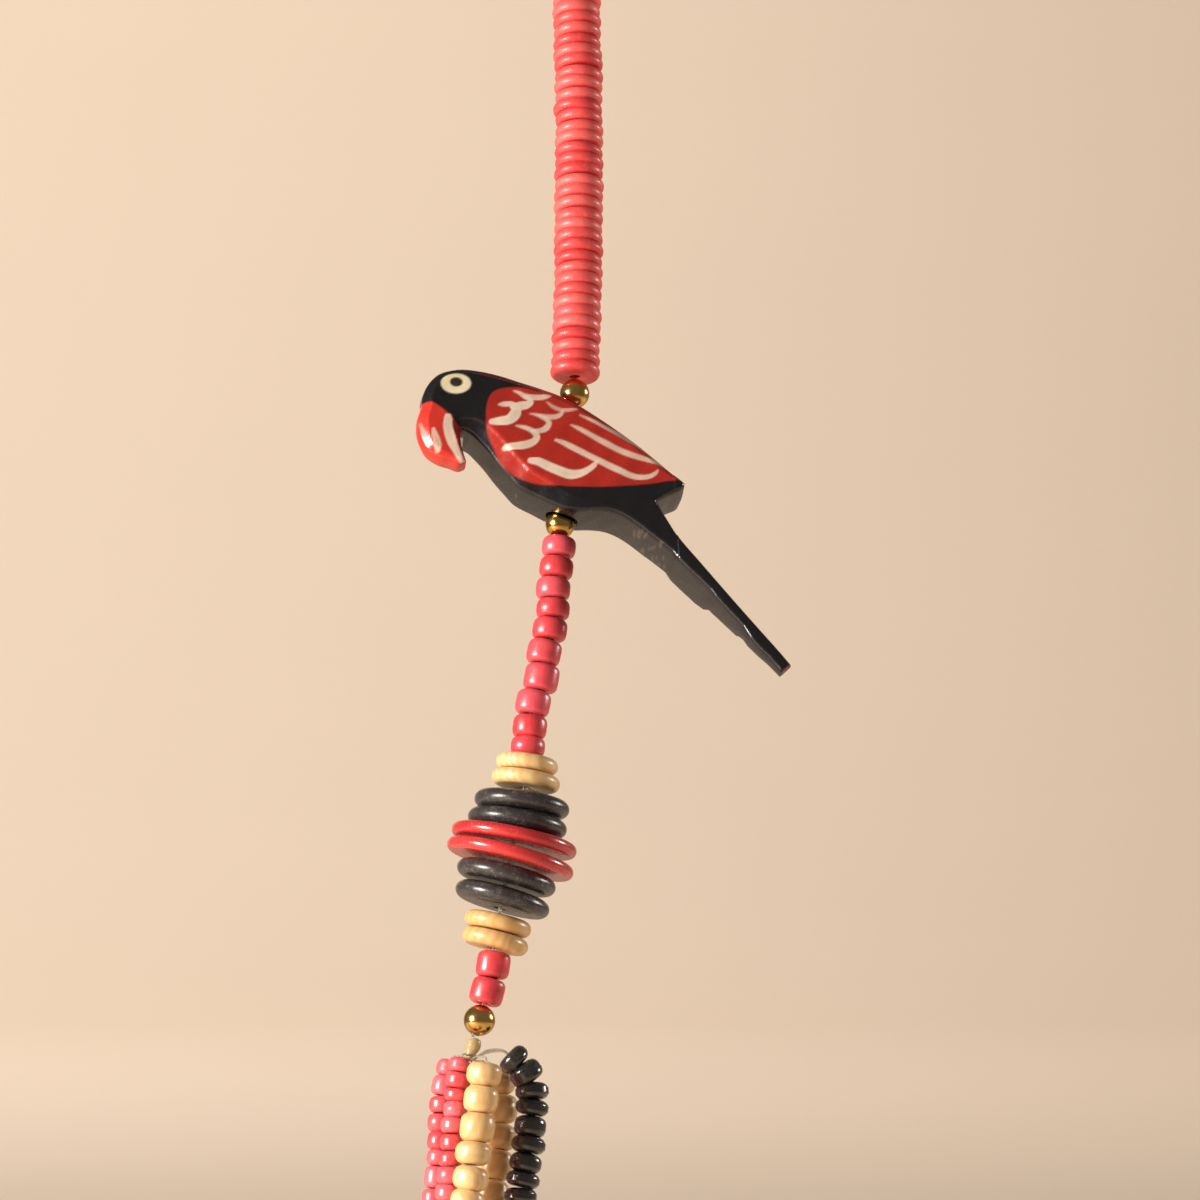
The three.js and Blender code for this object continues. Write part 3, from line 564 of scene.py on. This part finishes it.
def parrot_data():
    loop = smooth_loop(OUTLINE, 0.34)
    B, n = loop[:, :2], len(loop)
    A2 = np.roll(B, -1, 0)
    tang = A2 - np.roll(B, 1, 0)
    tang /= np.linalg.norm(tang, axis=1)[:, None]
    inward = np.stack([tang[:, 1], -tang[:, 0]], 1)
    if not inside((B + 0.05 * inward), B).mean() > 0.5:
        inward = -inward
    def rounded(poly, per):
        return catmull(list(poly) + [poly[0]], per)[:-1]
    wing, beak = rounded(WING, 5), rounded(BEAK, 4)
    strokes = []
    for name, cover, rows in STROKES:
        line = catmull(rows, 6)
        strokes.append((line[:, :2], line[:, 2] / 2, cover))
    # a fine grid over the outline, its rim drawn onto the outline and the cells beside it relaxed
    gx, gy = np.arange(-26.5, 34.5, GRID), np.arange(-41, 15.5, GRID)
    nx, ny = len(gx), len(gy)
    cx, cy = np.meshgrid((gx[:-1] + gx[1:]) / 2, (gy[:-1] + gy[1:]) / 2, indexing="ij")
    cell = inside(np.column_stack([cx.ravel(), cy.ravel()]), B).reshape(nx - 1, ny - 1)
    for _ in range(4):
        a, b_, c_, d_ = cell[:-1, :-1], cell[1:, :-1], cell[:-1, 1:], cell[1:, 1:]
        pinch = (a & d_ & ~b_ & ~c_) | (b_ & c_ & ~a & ~d_)
        for i, j in np.argwhere(pinch):
            cell[i:i + 2, j:j + 2] = True
    I, J = np.nonzero(cell)
    vid = lambda i, j: i * ny + j
    F = np.column_stack([vid(I, J), vid(I + 1, J), vid(I + 1, J + 1), vid(I, J + 1)])
    gxx, gyy = np.meshgrid(gx, gy, indexing="ij")
    P = np.column_stack([gxx.ravel(), gyy.ravel()])
    used = np.unique(F)
    remap = -np.ones(len(P), int)
    remap[used] = np.arange(len(used))
    P, F = P[used], remap[F]
    ends = np.concatenate([F[:, [k, (k + 1) % 4]] for k in range(4)])
    seen = set(map(tuple, ends.tolist()))
    rim = {i: j for i, j in seen if (j, i) not in seen}
    start = min(rim)
    order, k = [start], rim[start]
    while k != start and len(order) < 20000:
        order.append(k)
        k = rim[k]
    order = np.array(order)
    dist, along = seg_dist(P[order], B, A2)
    k = dist.argmin(1)
    t = along[np.arange(len(k)), k][:, None]
    P[order] = B[k] * (1 - t) + A2[k] * t
    on_rim = np.zeros(len(P), bool)
    on_rim[order] = True
    for _ in range(6):
        total, number = np.zeros_like(P), np.zeros(len(P))
        np.add.at(total, ends[:, 0], P[ends[:, 1]])
        np.add.at(number, ends[:, 0], 1)
        P = np.where(on_rim[:, None], P, 0.5 * P + 0.5 * total / number[:, None])
    # heights
    D, T = seg_dist(P, B, A2)
    near = D.argmin(1)
    d = D[np.arange(len(P)), near]
    # bevel values blended over the nearby outline so that facets meet softly
    bw, bd = np.zeros(len(P)), np.zeros(len(P))
    for k in range(0, len(P), 400):
        wgt = np.exp(-((D[k:k + 400] - d[k:k + 400, None]) / 0.35) ** 2)
        tot = wgt.sum(1)
        bw[k:k + 400], bd[k:k + 400] = wgt @ loop[:, 2] / tot, wgt @ loop[:, 3] / tot
    x = np.clip(d / bw, 0, 1)
    facet = (1 - x) * (1 - 0.0 * x)
    soft = np.where(x > 0.8, facet * (1 - x) / 0.2 * 0.5 + facet * 0.5 * 0 + (1 - x) ** 2 / 0.4 * 0.5, facet)
    small = (1 - np.clip(d / 0.3, 0, 1)) ** 2 * 0.16
    wave = 0.05 * np.sin(P[:, 0] * 0.55 + 1.0) * np.sin(P[:, 1] * 0.43) + 0.03 * np.sin(P[:, 0] * 1.3 - P[:, 1] * 0.9)
    crown = -0.0015 * ((P[:, 0] + 3) ** 2 * 0.25 + (P[:, 1] - 1) ** 2) * (P[:, 0] < 16)
    wf = -bd * soft - small + wave * np.clip(d / 1.0, 0, 1) + np.maximum(crown, -0.35) * 0.6
    th = thickness(P)
    rb = np.minimum(1.1, th * 0.2)
    back = (1 - np.clip(d / rb, 0, 1)) ** 2.2 * rb * 0.75
    wb = -th + back + 0.05 * np.sin(P[:, 0] * 0.7) * np.sin(P[:, 1] * 0.6 + 2)
    return dict(P=P, F=F, order=order, wf=wf, wb=wb, wing=wing, beak=beak, strokes=strokes)


def cover_of(P, poly):
    """How far each point lies inside a painted field, softened over a brush edge."""
    d = seg_dist(P, poly, np.roll(poly, -1, 0))[0].min(1)
    return np.clip(0.5 + np.where(inside(P, poly), d, -d) / 0.2, 0, 1)[:, None]


def face_paint(D):
    """Linear colour of every point of the front."""
    P = D["P"]
    col = np.tile(np.array(BLACK), (len(P), 1))
    for poly, paint in ((D["wing"], WINGRED), (D["beak"], BEAKRED)):
        c = cover_of(P, poly)
        col = col * (1 - c) + np.array(paint) * c
    for line, w, cover in D["strokes"]:
        dist, t = seg_dist(P, line[:-1], line[1:])
        k = dist.argmin(1)
        d = dist[np.arange(len(P)), k]
        half = w[k] * (1 - t[np.arange(len(P)), k]) + w[k + 1] * t[np.arange(len(P)), k]
        s = (k + t[np.arange(len(P)), k]) / (len(line) - 1)
        dry = 0.06 * np.sin(P[:, 0] * 7.3 + P[:, 1] * 5.1) + 0.05 * np.sin(P[:, 0] * 3.1 - P[:, 1] * 9.7)
        fade = np.interp(s, [0, 0.12, 0.8, 1], [0.92, 1.0, 0.97, 0.80]) + dry * (1.15 - cover)
        ridge = 0.84 + 0.16 * np.clip(d / np.maximum(half, 0.1), 0, 1) ** 2
        a = (np.clip(0.5 + (half - d) / 0.2, 0, 1) * np.clip(cover * fade * ridge, 0, 1))[:, None]
        col = col * (1 - a) + np.array(CREAM) * a
    for (cx, cy, rx, ry), paint in ((EYE, (0.80, 0.71, 0.48)), (PUPIL, (0.035, 0.022, 0.016))):
        r = np.hypot((P[:, 0] - cx) / rx, (P[:, 1] - cy) / ry)
        c = np.clip(0.5 + (1 - r) * min(rx, ry) / 0.2, 0, 1)[:, None]
        col = col * (1 - c) + np.array(paint) * c
    return col


def build_parrot(name, D, s, origin, U, W, N, top, mid):
    P, F, order = D["P"], D["F"], D["order"]
    n = len(P)
    front = np.column_stack([P, D["wf"]])
    rear = np.column_stack([P, D["wb"]])
    col_front = face_paint(D)
    # back of the bird: black, with the beak in red
    c = cover_of(P, D["beak"])
    col_back = np.array(BLACK) * (1 - c) + np.array(BEAKRED) * c
    # walls
    k = len(order)
    nxt = np.roll(order, -1)
    tang = P[nxt] - P[np.roll(order, 1)]
    tang /= np.maximum(np.linalg.norm(tang, axis=1), 1e-9)[:, None]
    out = np.stack([tang[:, 1], -tang[:, 0]], 1)
    rings = 9
    cos, faces, cols = [front, rear], [], []
    faces += [tuple(f) for f in F]
    cols += list(col_front[F].reshape(-1, 3))
    faces += [tuple(f[::-1] + n) for f in F]
    cols += list(col_back[F[:, ::-1]].reshape(-1, 3))
    idx = [order]
    base = 2 * n
    for r in range(1, rings):
        f = r / rings
        w = D["wf"][order] * (1 - f) + D["wb"][order] * f
        bulge = 0.16 * math.sin(math.pi * f) + 0.03 * np.sin(P[order, 0] * 1.7 + 6 * f) * math.sin(math.pi * f)
        ring = np.column_stack([P[order] + out * np.reshape(bulge, (-1, 1)), w])
        cos.append(ring)
        idx.append(np.arange(base, base + k))
        base += k
    idx.append(order + n)
    in_beak = inside(P[order] - out * 0.12, D["beak"])
    in_wing = inside(P[order] - out * 0.12, D["wing"]) & (out[:, 1] > 0)
    tip = (P[order, 0] > 31.0)
    for r in range(rings):
        for i in range(k):
            j = (i + 1) % k
            faces.append((idx[r][i], idx[r + 1][i], idx[r + 1][j], idx[r][j]))
            c = BEAKRED if in_beak[i] and in_beak[j] else WINGRED if (in_wing[i] and in_wing[j] and r < 5) else (0.30, 0.02, 0.012) if tip[i] and out[i, 0] > 0 and r < 3 else BLACK
            cols += [c] * 4
    co = np.concatenate(cos)
    basis = np.stack([U, W, N], 1)
    world = co @ basis.T + origin
    if s < 0:
        world = world * np.array([-1, 1, 1])
        faces = [f[::-1] for f in faces]
        out_cols, p = [], 0
        for f in faces:
            out_cols += cols[p:p + len(f)][::-1]
            p += len(f)
        cols = out_cols
    rgba = np.column_stack([np.array(cols), np.ones(len(cols))])
    o = make_object(name, world, [tuple(int(x) for x in f) for f in faces], [M_PARROT], attrs={"paint": ("FLOAT_COLOR", "CORNER", rgba)}, sharp_deg=42)
    return o


def lacquer_mat():
    m, nt, b = new_mat("parrot_lacquer")
    paint = node(nt, "ShaderNodeAttribute", attribute_type="GEOMETRY", attribute_name="paint").outputs["Color"]
    tc = node(nt, "ShaderNodeTexCoord").outputs["Object"]
    n1, n2, n3 = noise(nt, tc, 170, 4, 0.6), noise(nt, tc, 1100, 5, 0.6), noise(nt, scaled(nt, tc, (1, 1, 1)), 420, 6, 0.75)
    c = mix(nt, maprange(nt, n1, 0.3, 0.75, 0, 0.42), paint, (0.55, 0.42, 0.36), mode="MULTIPLY")
    c = mix(nt, maths(nt, "MULTIPLY", maprange(nt, n3, 0.64, 0.76, 0, 1), 0.08), c, (0.16, 0.12, 0.10))
    geo = node(nt, "ShaderNodeNewGeometry")
    c = mix(nt, maprange(nt, geo.outputs["Pointiness"], 0.56, 0.66, 0, 0.25), c, (0.20, 0.14, 0.11))
    link(nt, c, b.inputs["Base Color"])
    link(nt, maprange(nt, n2, 0.3, 0.7, 0.20, 0.33), b.inputs["Roughness"])
    b.inputs["Specular IOR Level"].default_value = 0.42
    b.inputs["Coat Weight"].default_value = 0.2
    b.inputs["Coat Roughness"].default_value = 0.1
    bump(nt, b, maths(nt, "ADD", maths(nt, "MULTIPLY", n2, 0.4), n1), 0.14, 0.0004)
    return m


M_PARROT = lacquer_mat()
TURN, LEAN = math.radians(7.4), math.radians(23.6)
N_ = np.array([math.sin(TURN) * math.cos(LEAN), -math.cos(TURN) * math.cos(LEAN), math.sin(LEAN)])
U_ = np.array([-N_[1], N_[0], 0]) / math.hypot(N_[0], N_[1])
W_ = np.cross(N_, U_)
PARROT_AT = np.array([55.07, -143.55, -108.99])


def centre_of(nodename):
    lo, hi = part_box(nodename)
    return np.array((lo + hi) / 2) / MM


def cut_thread_hole(o, top, mid):
    """Bore and the seat of the lower brass bead, cut with exact booleans."""
    cut = []
    axis = top - mid
    L = np.linalg.norm(axis)
    co, faces = revolve(arc(0, 0, 2.8, -89.9, 89.9, 18), 36)
    cut.append(make_object("seat_cut", co + mid, faces, []))
    prof = [(0.02, -0.2), (1.05, -0.2), (1.05, L), (0.02, L)]
    co, faces = revolve(prof, 28)
    cut.append(make_object("bore_cut", co @ frame_from(axis, 0).T + mid, faces, []))
    for c in cut:
        m = o.modifiers.new("cut", "BOOLEAN")
        m.operation, m.solver, m.object = "DIFFERENCE", "MANIFOLD", c
    dg = bpy.context.evaluated_depsgraph_get()
    me = bpy.data.meshes.new_from_object(o.evaluated_get(dg))
    ok = len(me.polygons) > 5000
    o.modifiers.clear()
    if ok:
        o.data = me
        me.set_sharp_from_angle(angle=math.radians(42))
    for c in cut:
        d = c.data
        bpy.data.objects.remove(c)
        bpy.data.meshes.remove(d)
    print("parrot", o.name, "cut ok" if ok else "cut failed", len(o.data.polygons), [a.name for a in o.data.attributes][:12])


DATA = parrot_data()
print("open rim steps", len(DATA["order"]), flush=True)
print("parrot points", len(DATA["P"]), "triangles", len(DATA["F"]), "rim", len(DATA["order"]))
for side, s in (("l", 1), ("r", -1)):
    box_lo, box_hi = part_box("parrot_" + side)
    origin = PARROT_AT.copy()
    if s < 0:
        origin[0] += (FAR_SPREAD - 1) * PARROT_AT[0]
    top, mid = centre_of("brass_bead_top_" + side), centre_of("brass_bead_mid_" + side)
    bird = build_parrot("parrot_carved_" + side, DATA, s, origin, U_, W_, N_, top, mid)
    cut_thread_hole(bird, top, mid)
    place(bird, "parrot_lacquer", "parrot_" + side)

# ---------------------------------------------------------------- neck rope
for side, s in (("l", 1), ("r", -1)):
    path = Path(catmull([(side_x(s, x), y, z) for x, y, z in ROPE_ROUTE]))
    n = round(path.length / ROPE_PITCH)
    beads = []
    for i in range(n):
        sp = path.length * (i + 0.5) / n
        c, t = path.at(sp), path.tangent(sp)
        up = -t + rng.normal(0, 0.018, 3)
        R = ROPE_R * (1 + rng.uniform(-0.035, 0.0))
        h = 0.5 * path.length / n * rng.uniform(0.93, 1.0)
        rim = rng.uniform(0.55, 0.95)
        prof = profile_disc(R, h, rim, n=4, dish=0.02)
        edge = 0 if 0 < i < n - 1 else 0.02
        beads.append((c + rng.normal(0, 0.07, 3) * (1 if edge == 0 else 0), up, prof, rng.uniform(0, 6.28), (1 + rng.uniform(-0.015, 0.015), 1.0), rng.uniform(0, 1)))
    place(string_of("heishi_rope_" + side, beads, [M_CORAL], 30), "coral_disc", "neck_rope_" + side)

# ---------------------------------------------------------------- beads strung singly
def single(name, s, kind):
    roll, pitch, dia, length = BEADS[name]
    side = "l" if s > 0 else "r"
    c = centre_of(name + "_" + side)
    up = up_axis(s, roll, pitch)
    R, h = dia / 2, length / 2
    v = rng.uniform(0, 1)
    if kind == "disc":
        k = int(name[5:7])
        if k <= 2 or k >= 9:
            prof, m, slot = profile_disc(R, h, 1.15, n=8), (M_TAN if k >= 9 else M_NATURAL), "natural_wood"
        elif k in (5, 6):
            prof, m, slot = profile_disc(R, h, 1.0, n=8, dish=0.05), M_REDDISC, "red_disc"
        else:
            prof, m, slot = profile_disc(R, h, 1.7, n=9, dish=0.08), M_BLACKDISC, "black_disc"
        segs = 84
    elif kind == "brass":
        prof, m, slot, segs = profile_ball(R), M_BRASS, "brass", 48
    else:
        prof, m, slot, segs = profile_barrel(R, h, min(0.95, h * 0.6), belly=0.04), M_BARREL, "red_barrel", 40
    o = string_of(name.replace("_bead", "") + "_turned_" + side, [(c, up, prof, rng.uniform(0, 6.28), (1 + rng.uniform(-0.01, 0.01), 1.0), v)], [m], segs)
    place(o, slot, name + "_" + side)


for side, s in (("l", 1), ("r", -1)):
    for name in BEADS:
        kind = name.split("_")[0]
        if s < 0 and kind == "barrel" and int(name[12:14]) <= 10:
            continue
        single(name, s, kind)
lo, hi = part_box("barrel_beads_upper_r")
beads = []
for name, zc in zip([f"barrel_bead_{k:02d}" for k in range(1, 11)], range(10)):
    roll, pitch, dia, length = BEADS[name]
    c = centre_of(name + "_l")
    c[0] = side_x(-1, c[0])
    beads.append((c, up_axis(-1, roll, pitch), profile_barrel(dia / 2, length / 2, 0.9, belly=0.04), rng.uniform(0, 6.28), (1, 1), rng.uniform(0, 1)))
place(string_of("barrel_run_r", beads, [M_BARREL], 40), "red_barrel", "barrel_beads_upper_r")

# ---------------------------------------------------------------- strands
STRAND_LOOK = {"red": (M_REDBEAD, "red_bead", 0.95, 22), "natural": (M_NATURAL, "natural_wood", 1.15, 26), "black": (M_BLACKBEAD, "black_bead", 1.0, 24)}
for name, row in STRANDS.items():
    path = strand_path(row)
    dia, pitch = row[5], row[6]
    n = round(path.length / pitch)
    gaps = rng.uniform(0.82, 1.18, n)
    gaps *= path.length / gaps.sum()
    m, slot, corner, segs = STRAND_LOOK[name.split("_")[1]]
    beads, sp = [], 0.0
    for g in gaps:
        c, t = path.at(sp + g / 2), path.tangent(sp + g / 2)
        h = g / 2 * 0.985
        R = dia / 2 * rng.uniform(0.95, 1.02)
        cr = min(corner * R / 2.8 * 1.25, h * 0.92)
        beads.append((c + rng.normal(0, 0.06, 3), -t + rng.normal(0, 0.05, 3), profile_barrel(R, h, cr, bore=0.6, n=5, belly=0.03), rng.uniform(0, 6.28), (1 + rng.uniform(-0.02, 0.02), 1.0), rng.uniform(0, 1)))
        sp += g
    place(string_of(name + "_beads", beads, [m], segs), slot, name)

# ---------------------------------------------------------------- knots and fine threads
def tube(name, pts, radii, mat, segs=10):
    path = np.array(pts, float)
    t = np.gradient(path, axis=0)
    t /= np.linalg.norm(t, axis=1)[:, None]
    cos, faces = [], []
    ref = np.array([0.3, -0.8, 0.5])
    for i, (p, d, r) in enumerate(zip(path, t, radii)):
        a = ref - d * ref.dot(d)
        a /= np.linalg.norm(a)
        b = np.cross(d, a)
        ang = np.arange(segs) * 2 * math.pi / segs
        cos.append(p + r * (np.cos(ang)[:, None] * a + np.sin(ang)[:, None] * b))
    for i in range(len(path) - 1):
        for k in range(segs):
            l = (k + 1) % segs
            faces.append((i * segs + k, i * segs + l, (i + 1) * segs + l, (i + 1) * segs + k))
    faces.append(tuple(range(segs))[::-1])
    faces.append(tuple((len(path) - 1) * segs + k for k in range(segs)))
    return make_object(name, np.concatenate(cos), faces, [mat])


def joined(name, objs):
    dst = objs[0]
    import bmesh
    bm = bmesh.new()
    for o in objs:
        bm.from_mesh(o.data)
    bm.to_mesh(dst.data)
    bm.free()
    dst.data.polygons.foreach_set("use_smooth", [True] * len(dst.data.polygons))
    for o in objs[1:]:
        d = o.data
        bpy.data.objects.remove(o)
        bpy.data.meshes.remove(d)
    dst.name = name
    return dst


for side, s in (("l", 1), ("r", -1)):
    lo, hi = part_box("knot_" + side)
    c = np.array((lo + hi) / 2) / MM
    up = up_axis(s, 12, 10)
    prof_z = np.linspace(-1.65, 1.55, 15)
    rr = 1.0 + 0.22 * np.sin(prof_z * 1.9 + 0.5) * np.cos(prof_z * 0.9)
    rr[0], rr[-1] = 0.45, 0.6
    sleeve = tube("knot_sleeve", [c + up * z + np.array([0.08 * math.sin(z * 2), 0.05 * math.cos(z * 3), 0]) for z in prof_z], rr, M_GLUE, 20)
    place(sleeve, "thread_glue", "knot_" + side)
    sleeve.name = "knot_sleeve_" + side
    threads = []
    foot = c - up * 1.5
    for i, (name, row) in enumerate(STRANDS.items()):
        path = strand_path(row)
        e0, e1 = (path.at(0.0), path.at(1.5)) if s > 0 else (path.at(path.length), path.at(path.length - 1.5))
        d = (e0 - e1) / np.linalg.norm(e0 - e1)
        for j in range(2 if name == "strand_black" else 1):
            side_off = np.array([0, 0, 0.35 * j])
            p = [foot + up * 0.6, foot + np.array([0.15 * (i - 2) * s, -0.1 * i, -0.1]), (foot + e0) / 2 + np.array([0, 0, 0.55 + 0.35 * j]), e0 + d * 0.5 + side_off * 0.4, e0 - d * 0.8]
            line = catmull(p, 8)
            threads.append(tube("t", line, np.full(len(line), 0.16), M_THREAD, 6))
    nodes_line = catmull([np.array(centre_of("brass_bead_low_" + side)), c + up * 1.3], 8)
    place(joined("fine_threads_" + side, threads), "thread_glue")
    # thread through the single beads: its own CAD node, shown with the clear finish
    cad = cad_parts["thread_" + side]
    cad.data.materials.clear()
    cad.data.materials.append(M_THREAD)

# ---------------------------------------------------------------- stage, light, camera
def plain(name, colour, rough):
    m, nt, b = new_mat(name)
    tc = node(nt, "ShaderNodeTexCoord").outputs["Object"]
    link(nt, mix(nt, noise(nt, tc, 3.0, 3), colour, tuple(0.97 * c for c in colour)), b.inputs["Base Color"])
    b.inputs["Roughness"].default_value = rough
    b.inputs["Specular IOR Level"].default_value = 0.1
    return m


sweep_pts = [(-4.6, 0)] + [(3.5, 0)] + [(3.5 + 1.1 * math.sin(math.radians(a)), 1.1 - 1.1 * math.cos(math.radians(a))) for a in range(10, 91, 10)] + [(4.6, 4.2)]
floor_z = CAD_BOX[0][2] - 0.10
verts = [(x * 1.0, y, floor_z + z) for y, z in sweep_pts for x in (-4.6, 4.6)]
faces = [(2 * i, 2 * i + 1, 2 * i + 3, 2 * i + 2) for i in range(len(sweep_pts) - 1)]
me = bpy.data.meshes.new("backdrop")
me.from_pydata(verts, [], faces)
me.polygons.foreach_set("use_smooth", [True] * len(faces))
backdrop = bpy.data.objects.new("backdrop", me)
bpy.context.scene.collection.objects.link(backdrop)
me.materials.append(plain("pale_sweep", (0.84, 0.70, 0.56), 0.9))

scene = bpy.context.scene
target = Vector((0.055, -0.145, -0.125))


def area(name, place_at, size, power, colour, aim=target, shape="DISK"):
    d = bpy.data.lights.new(name, "AREA")
    d.shape, d.size, d.energy, d.color = shape, size, power, colour
    o = bpy.data.objects.new(name, d)
    o.location = place_at
    o.rotation_euler = (aim - Vector(place_at)).to_track_quat("-Z", "Y").to_euler()
    scene.collection.objects.link(o)
    return o


area("key_left", (-0.93, -0.72, 0.06), 0.40, 25, (1.0, 0.95, 0.88))
area("rim_right", (0.95, 0.10, 0.05), 0.22, 4, (1.0, 0.95, 0.90))
area("wall_wash", (-1.0, 2.5, 1.6), 1.2, 52, (1.0, 0.96, 0.92), aim=Vector((0.5, 4.6, 0.0)))
world = bpy.data.worlds.new("studio")
world.use_nodes = True
world.node_tree.nodes["Background"].inputs[0].default_value = (1.0, 0.90, 0.78, 1)
world.node_tree.nodes["Background"].inputs[1].default_value = 0.17
scene.world = world
scene.view_settings.view_transform = "Standard"

cam = bpy.data.cameras.new("camera")
cam.lens, cam.sensor_width = 207.9, 36.0
cam.clip_start, cam.clip_end = 0.05, 20
eye = bpy.data.objects.new("camera", cam)
eye.location = (0.0595, -1.238, -0.1334)
eye.rotation_euler = (math.radians(90), 0, 0)
scene.collection.objects.link(eye)
scene.camera = eye

tri = {o.name: sum(len(p.vertices) - 2 for p in o.data.polygons) for o in scene.objects if o.type == "MESH" and not o.hide_render}
print("triangles shown", sum(tri.values()), "largest", sorted(tri.items(), key=lambda x: -x[1])[:4])
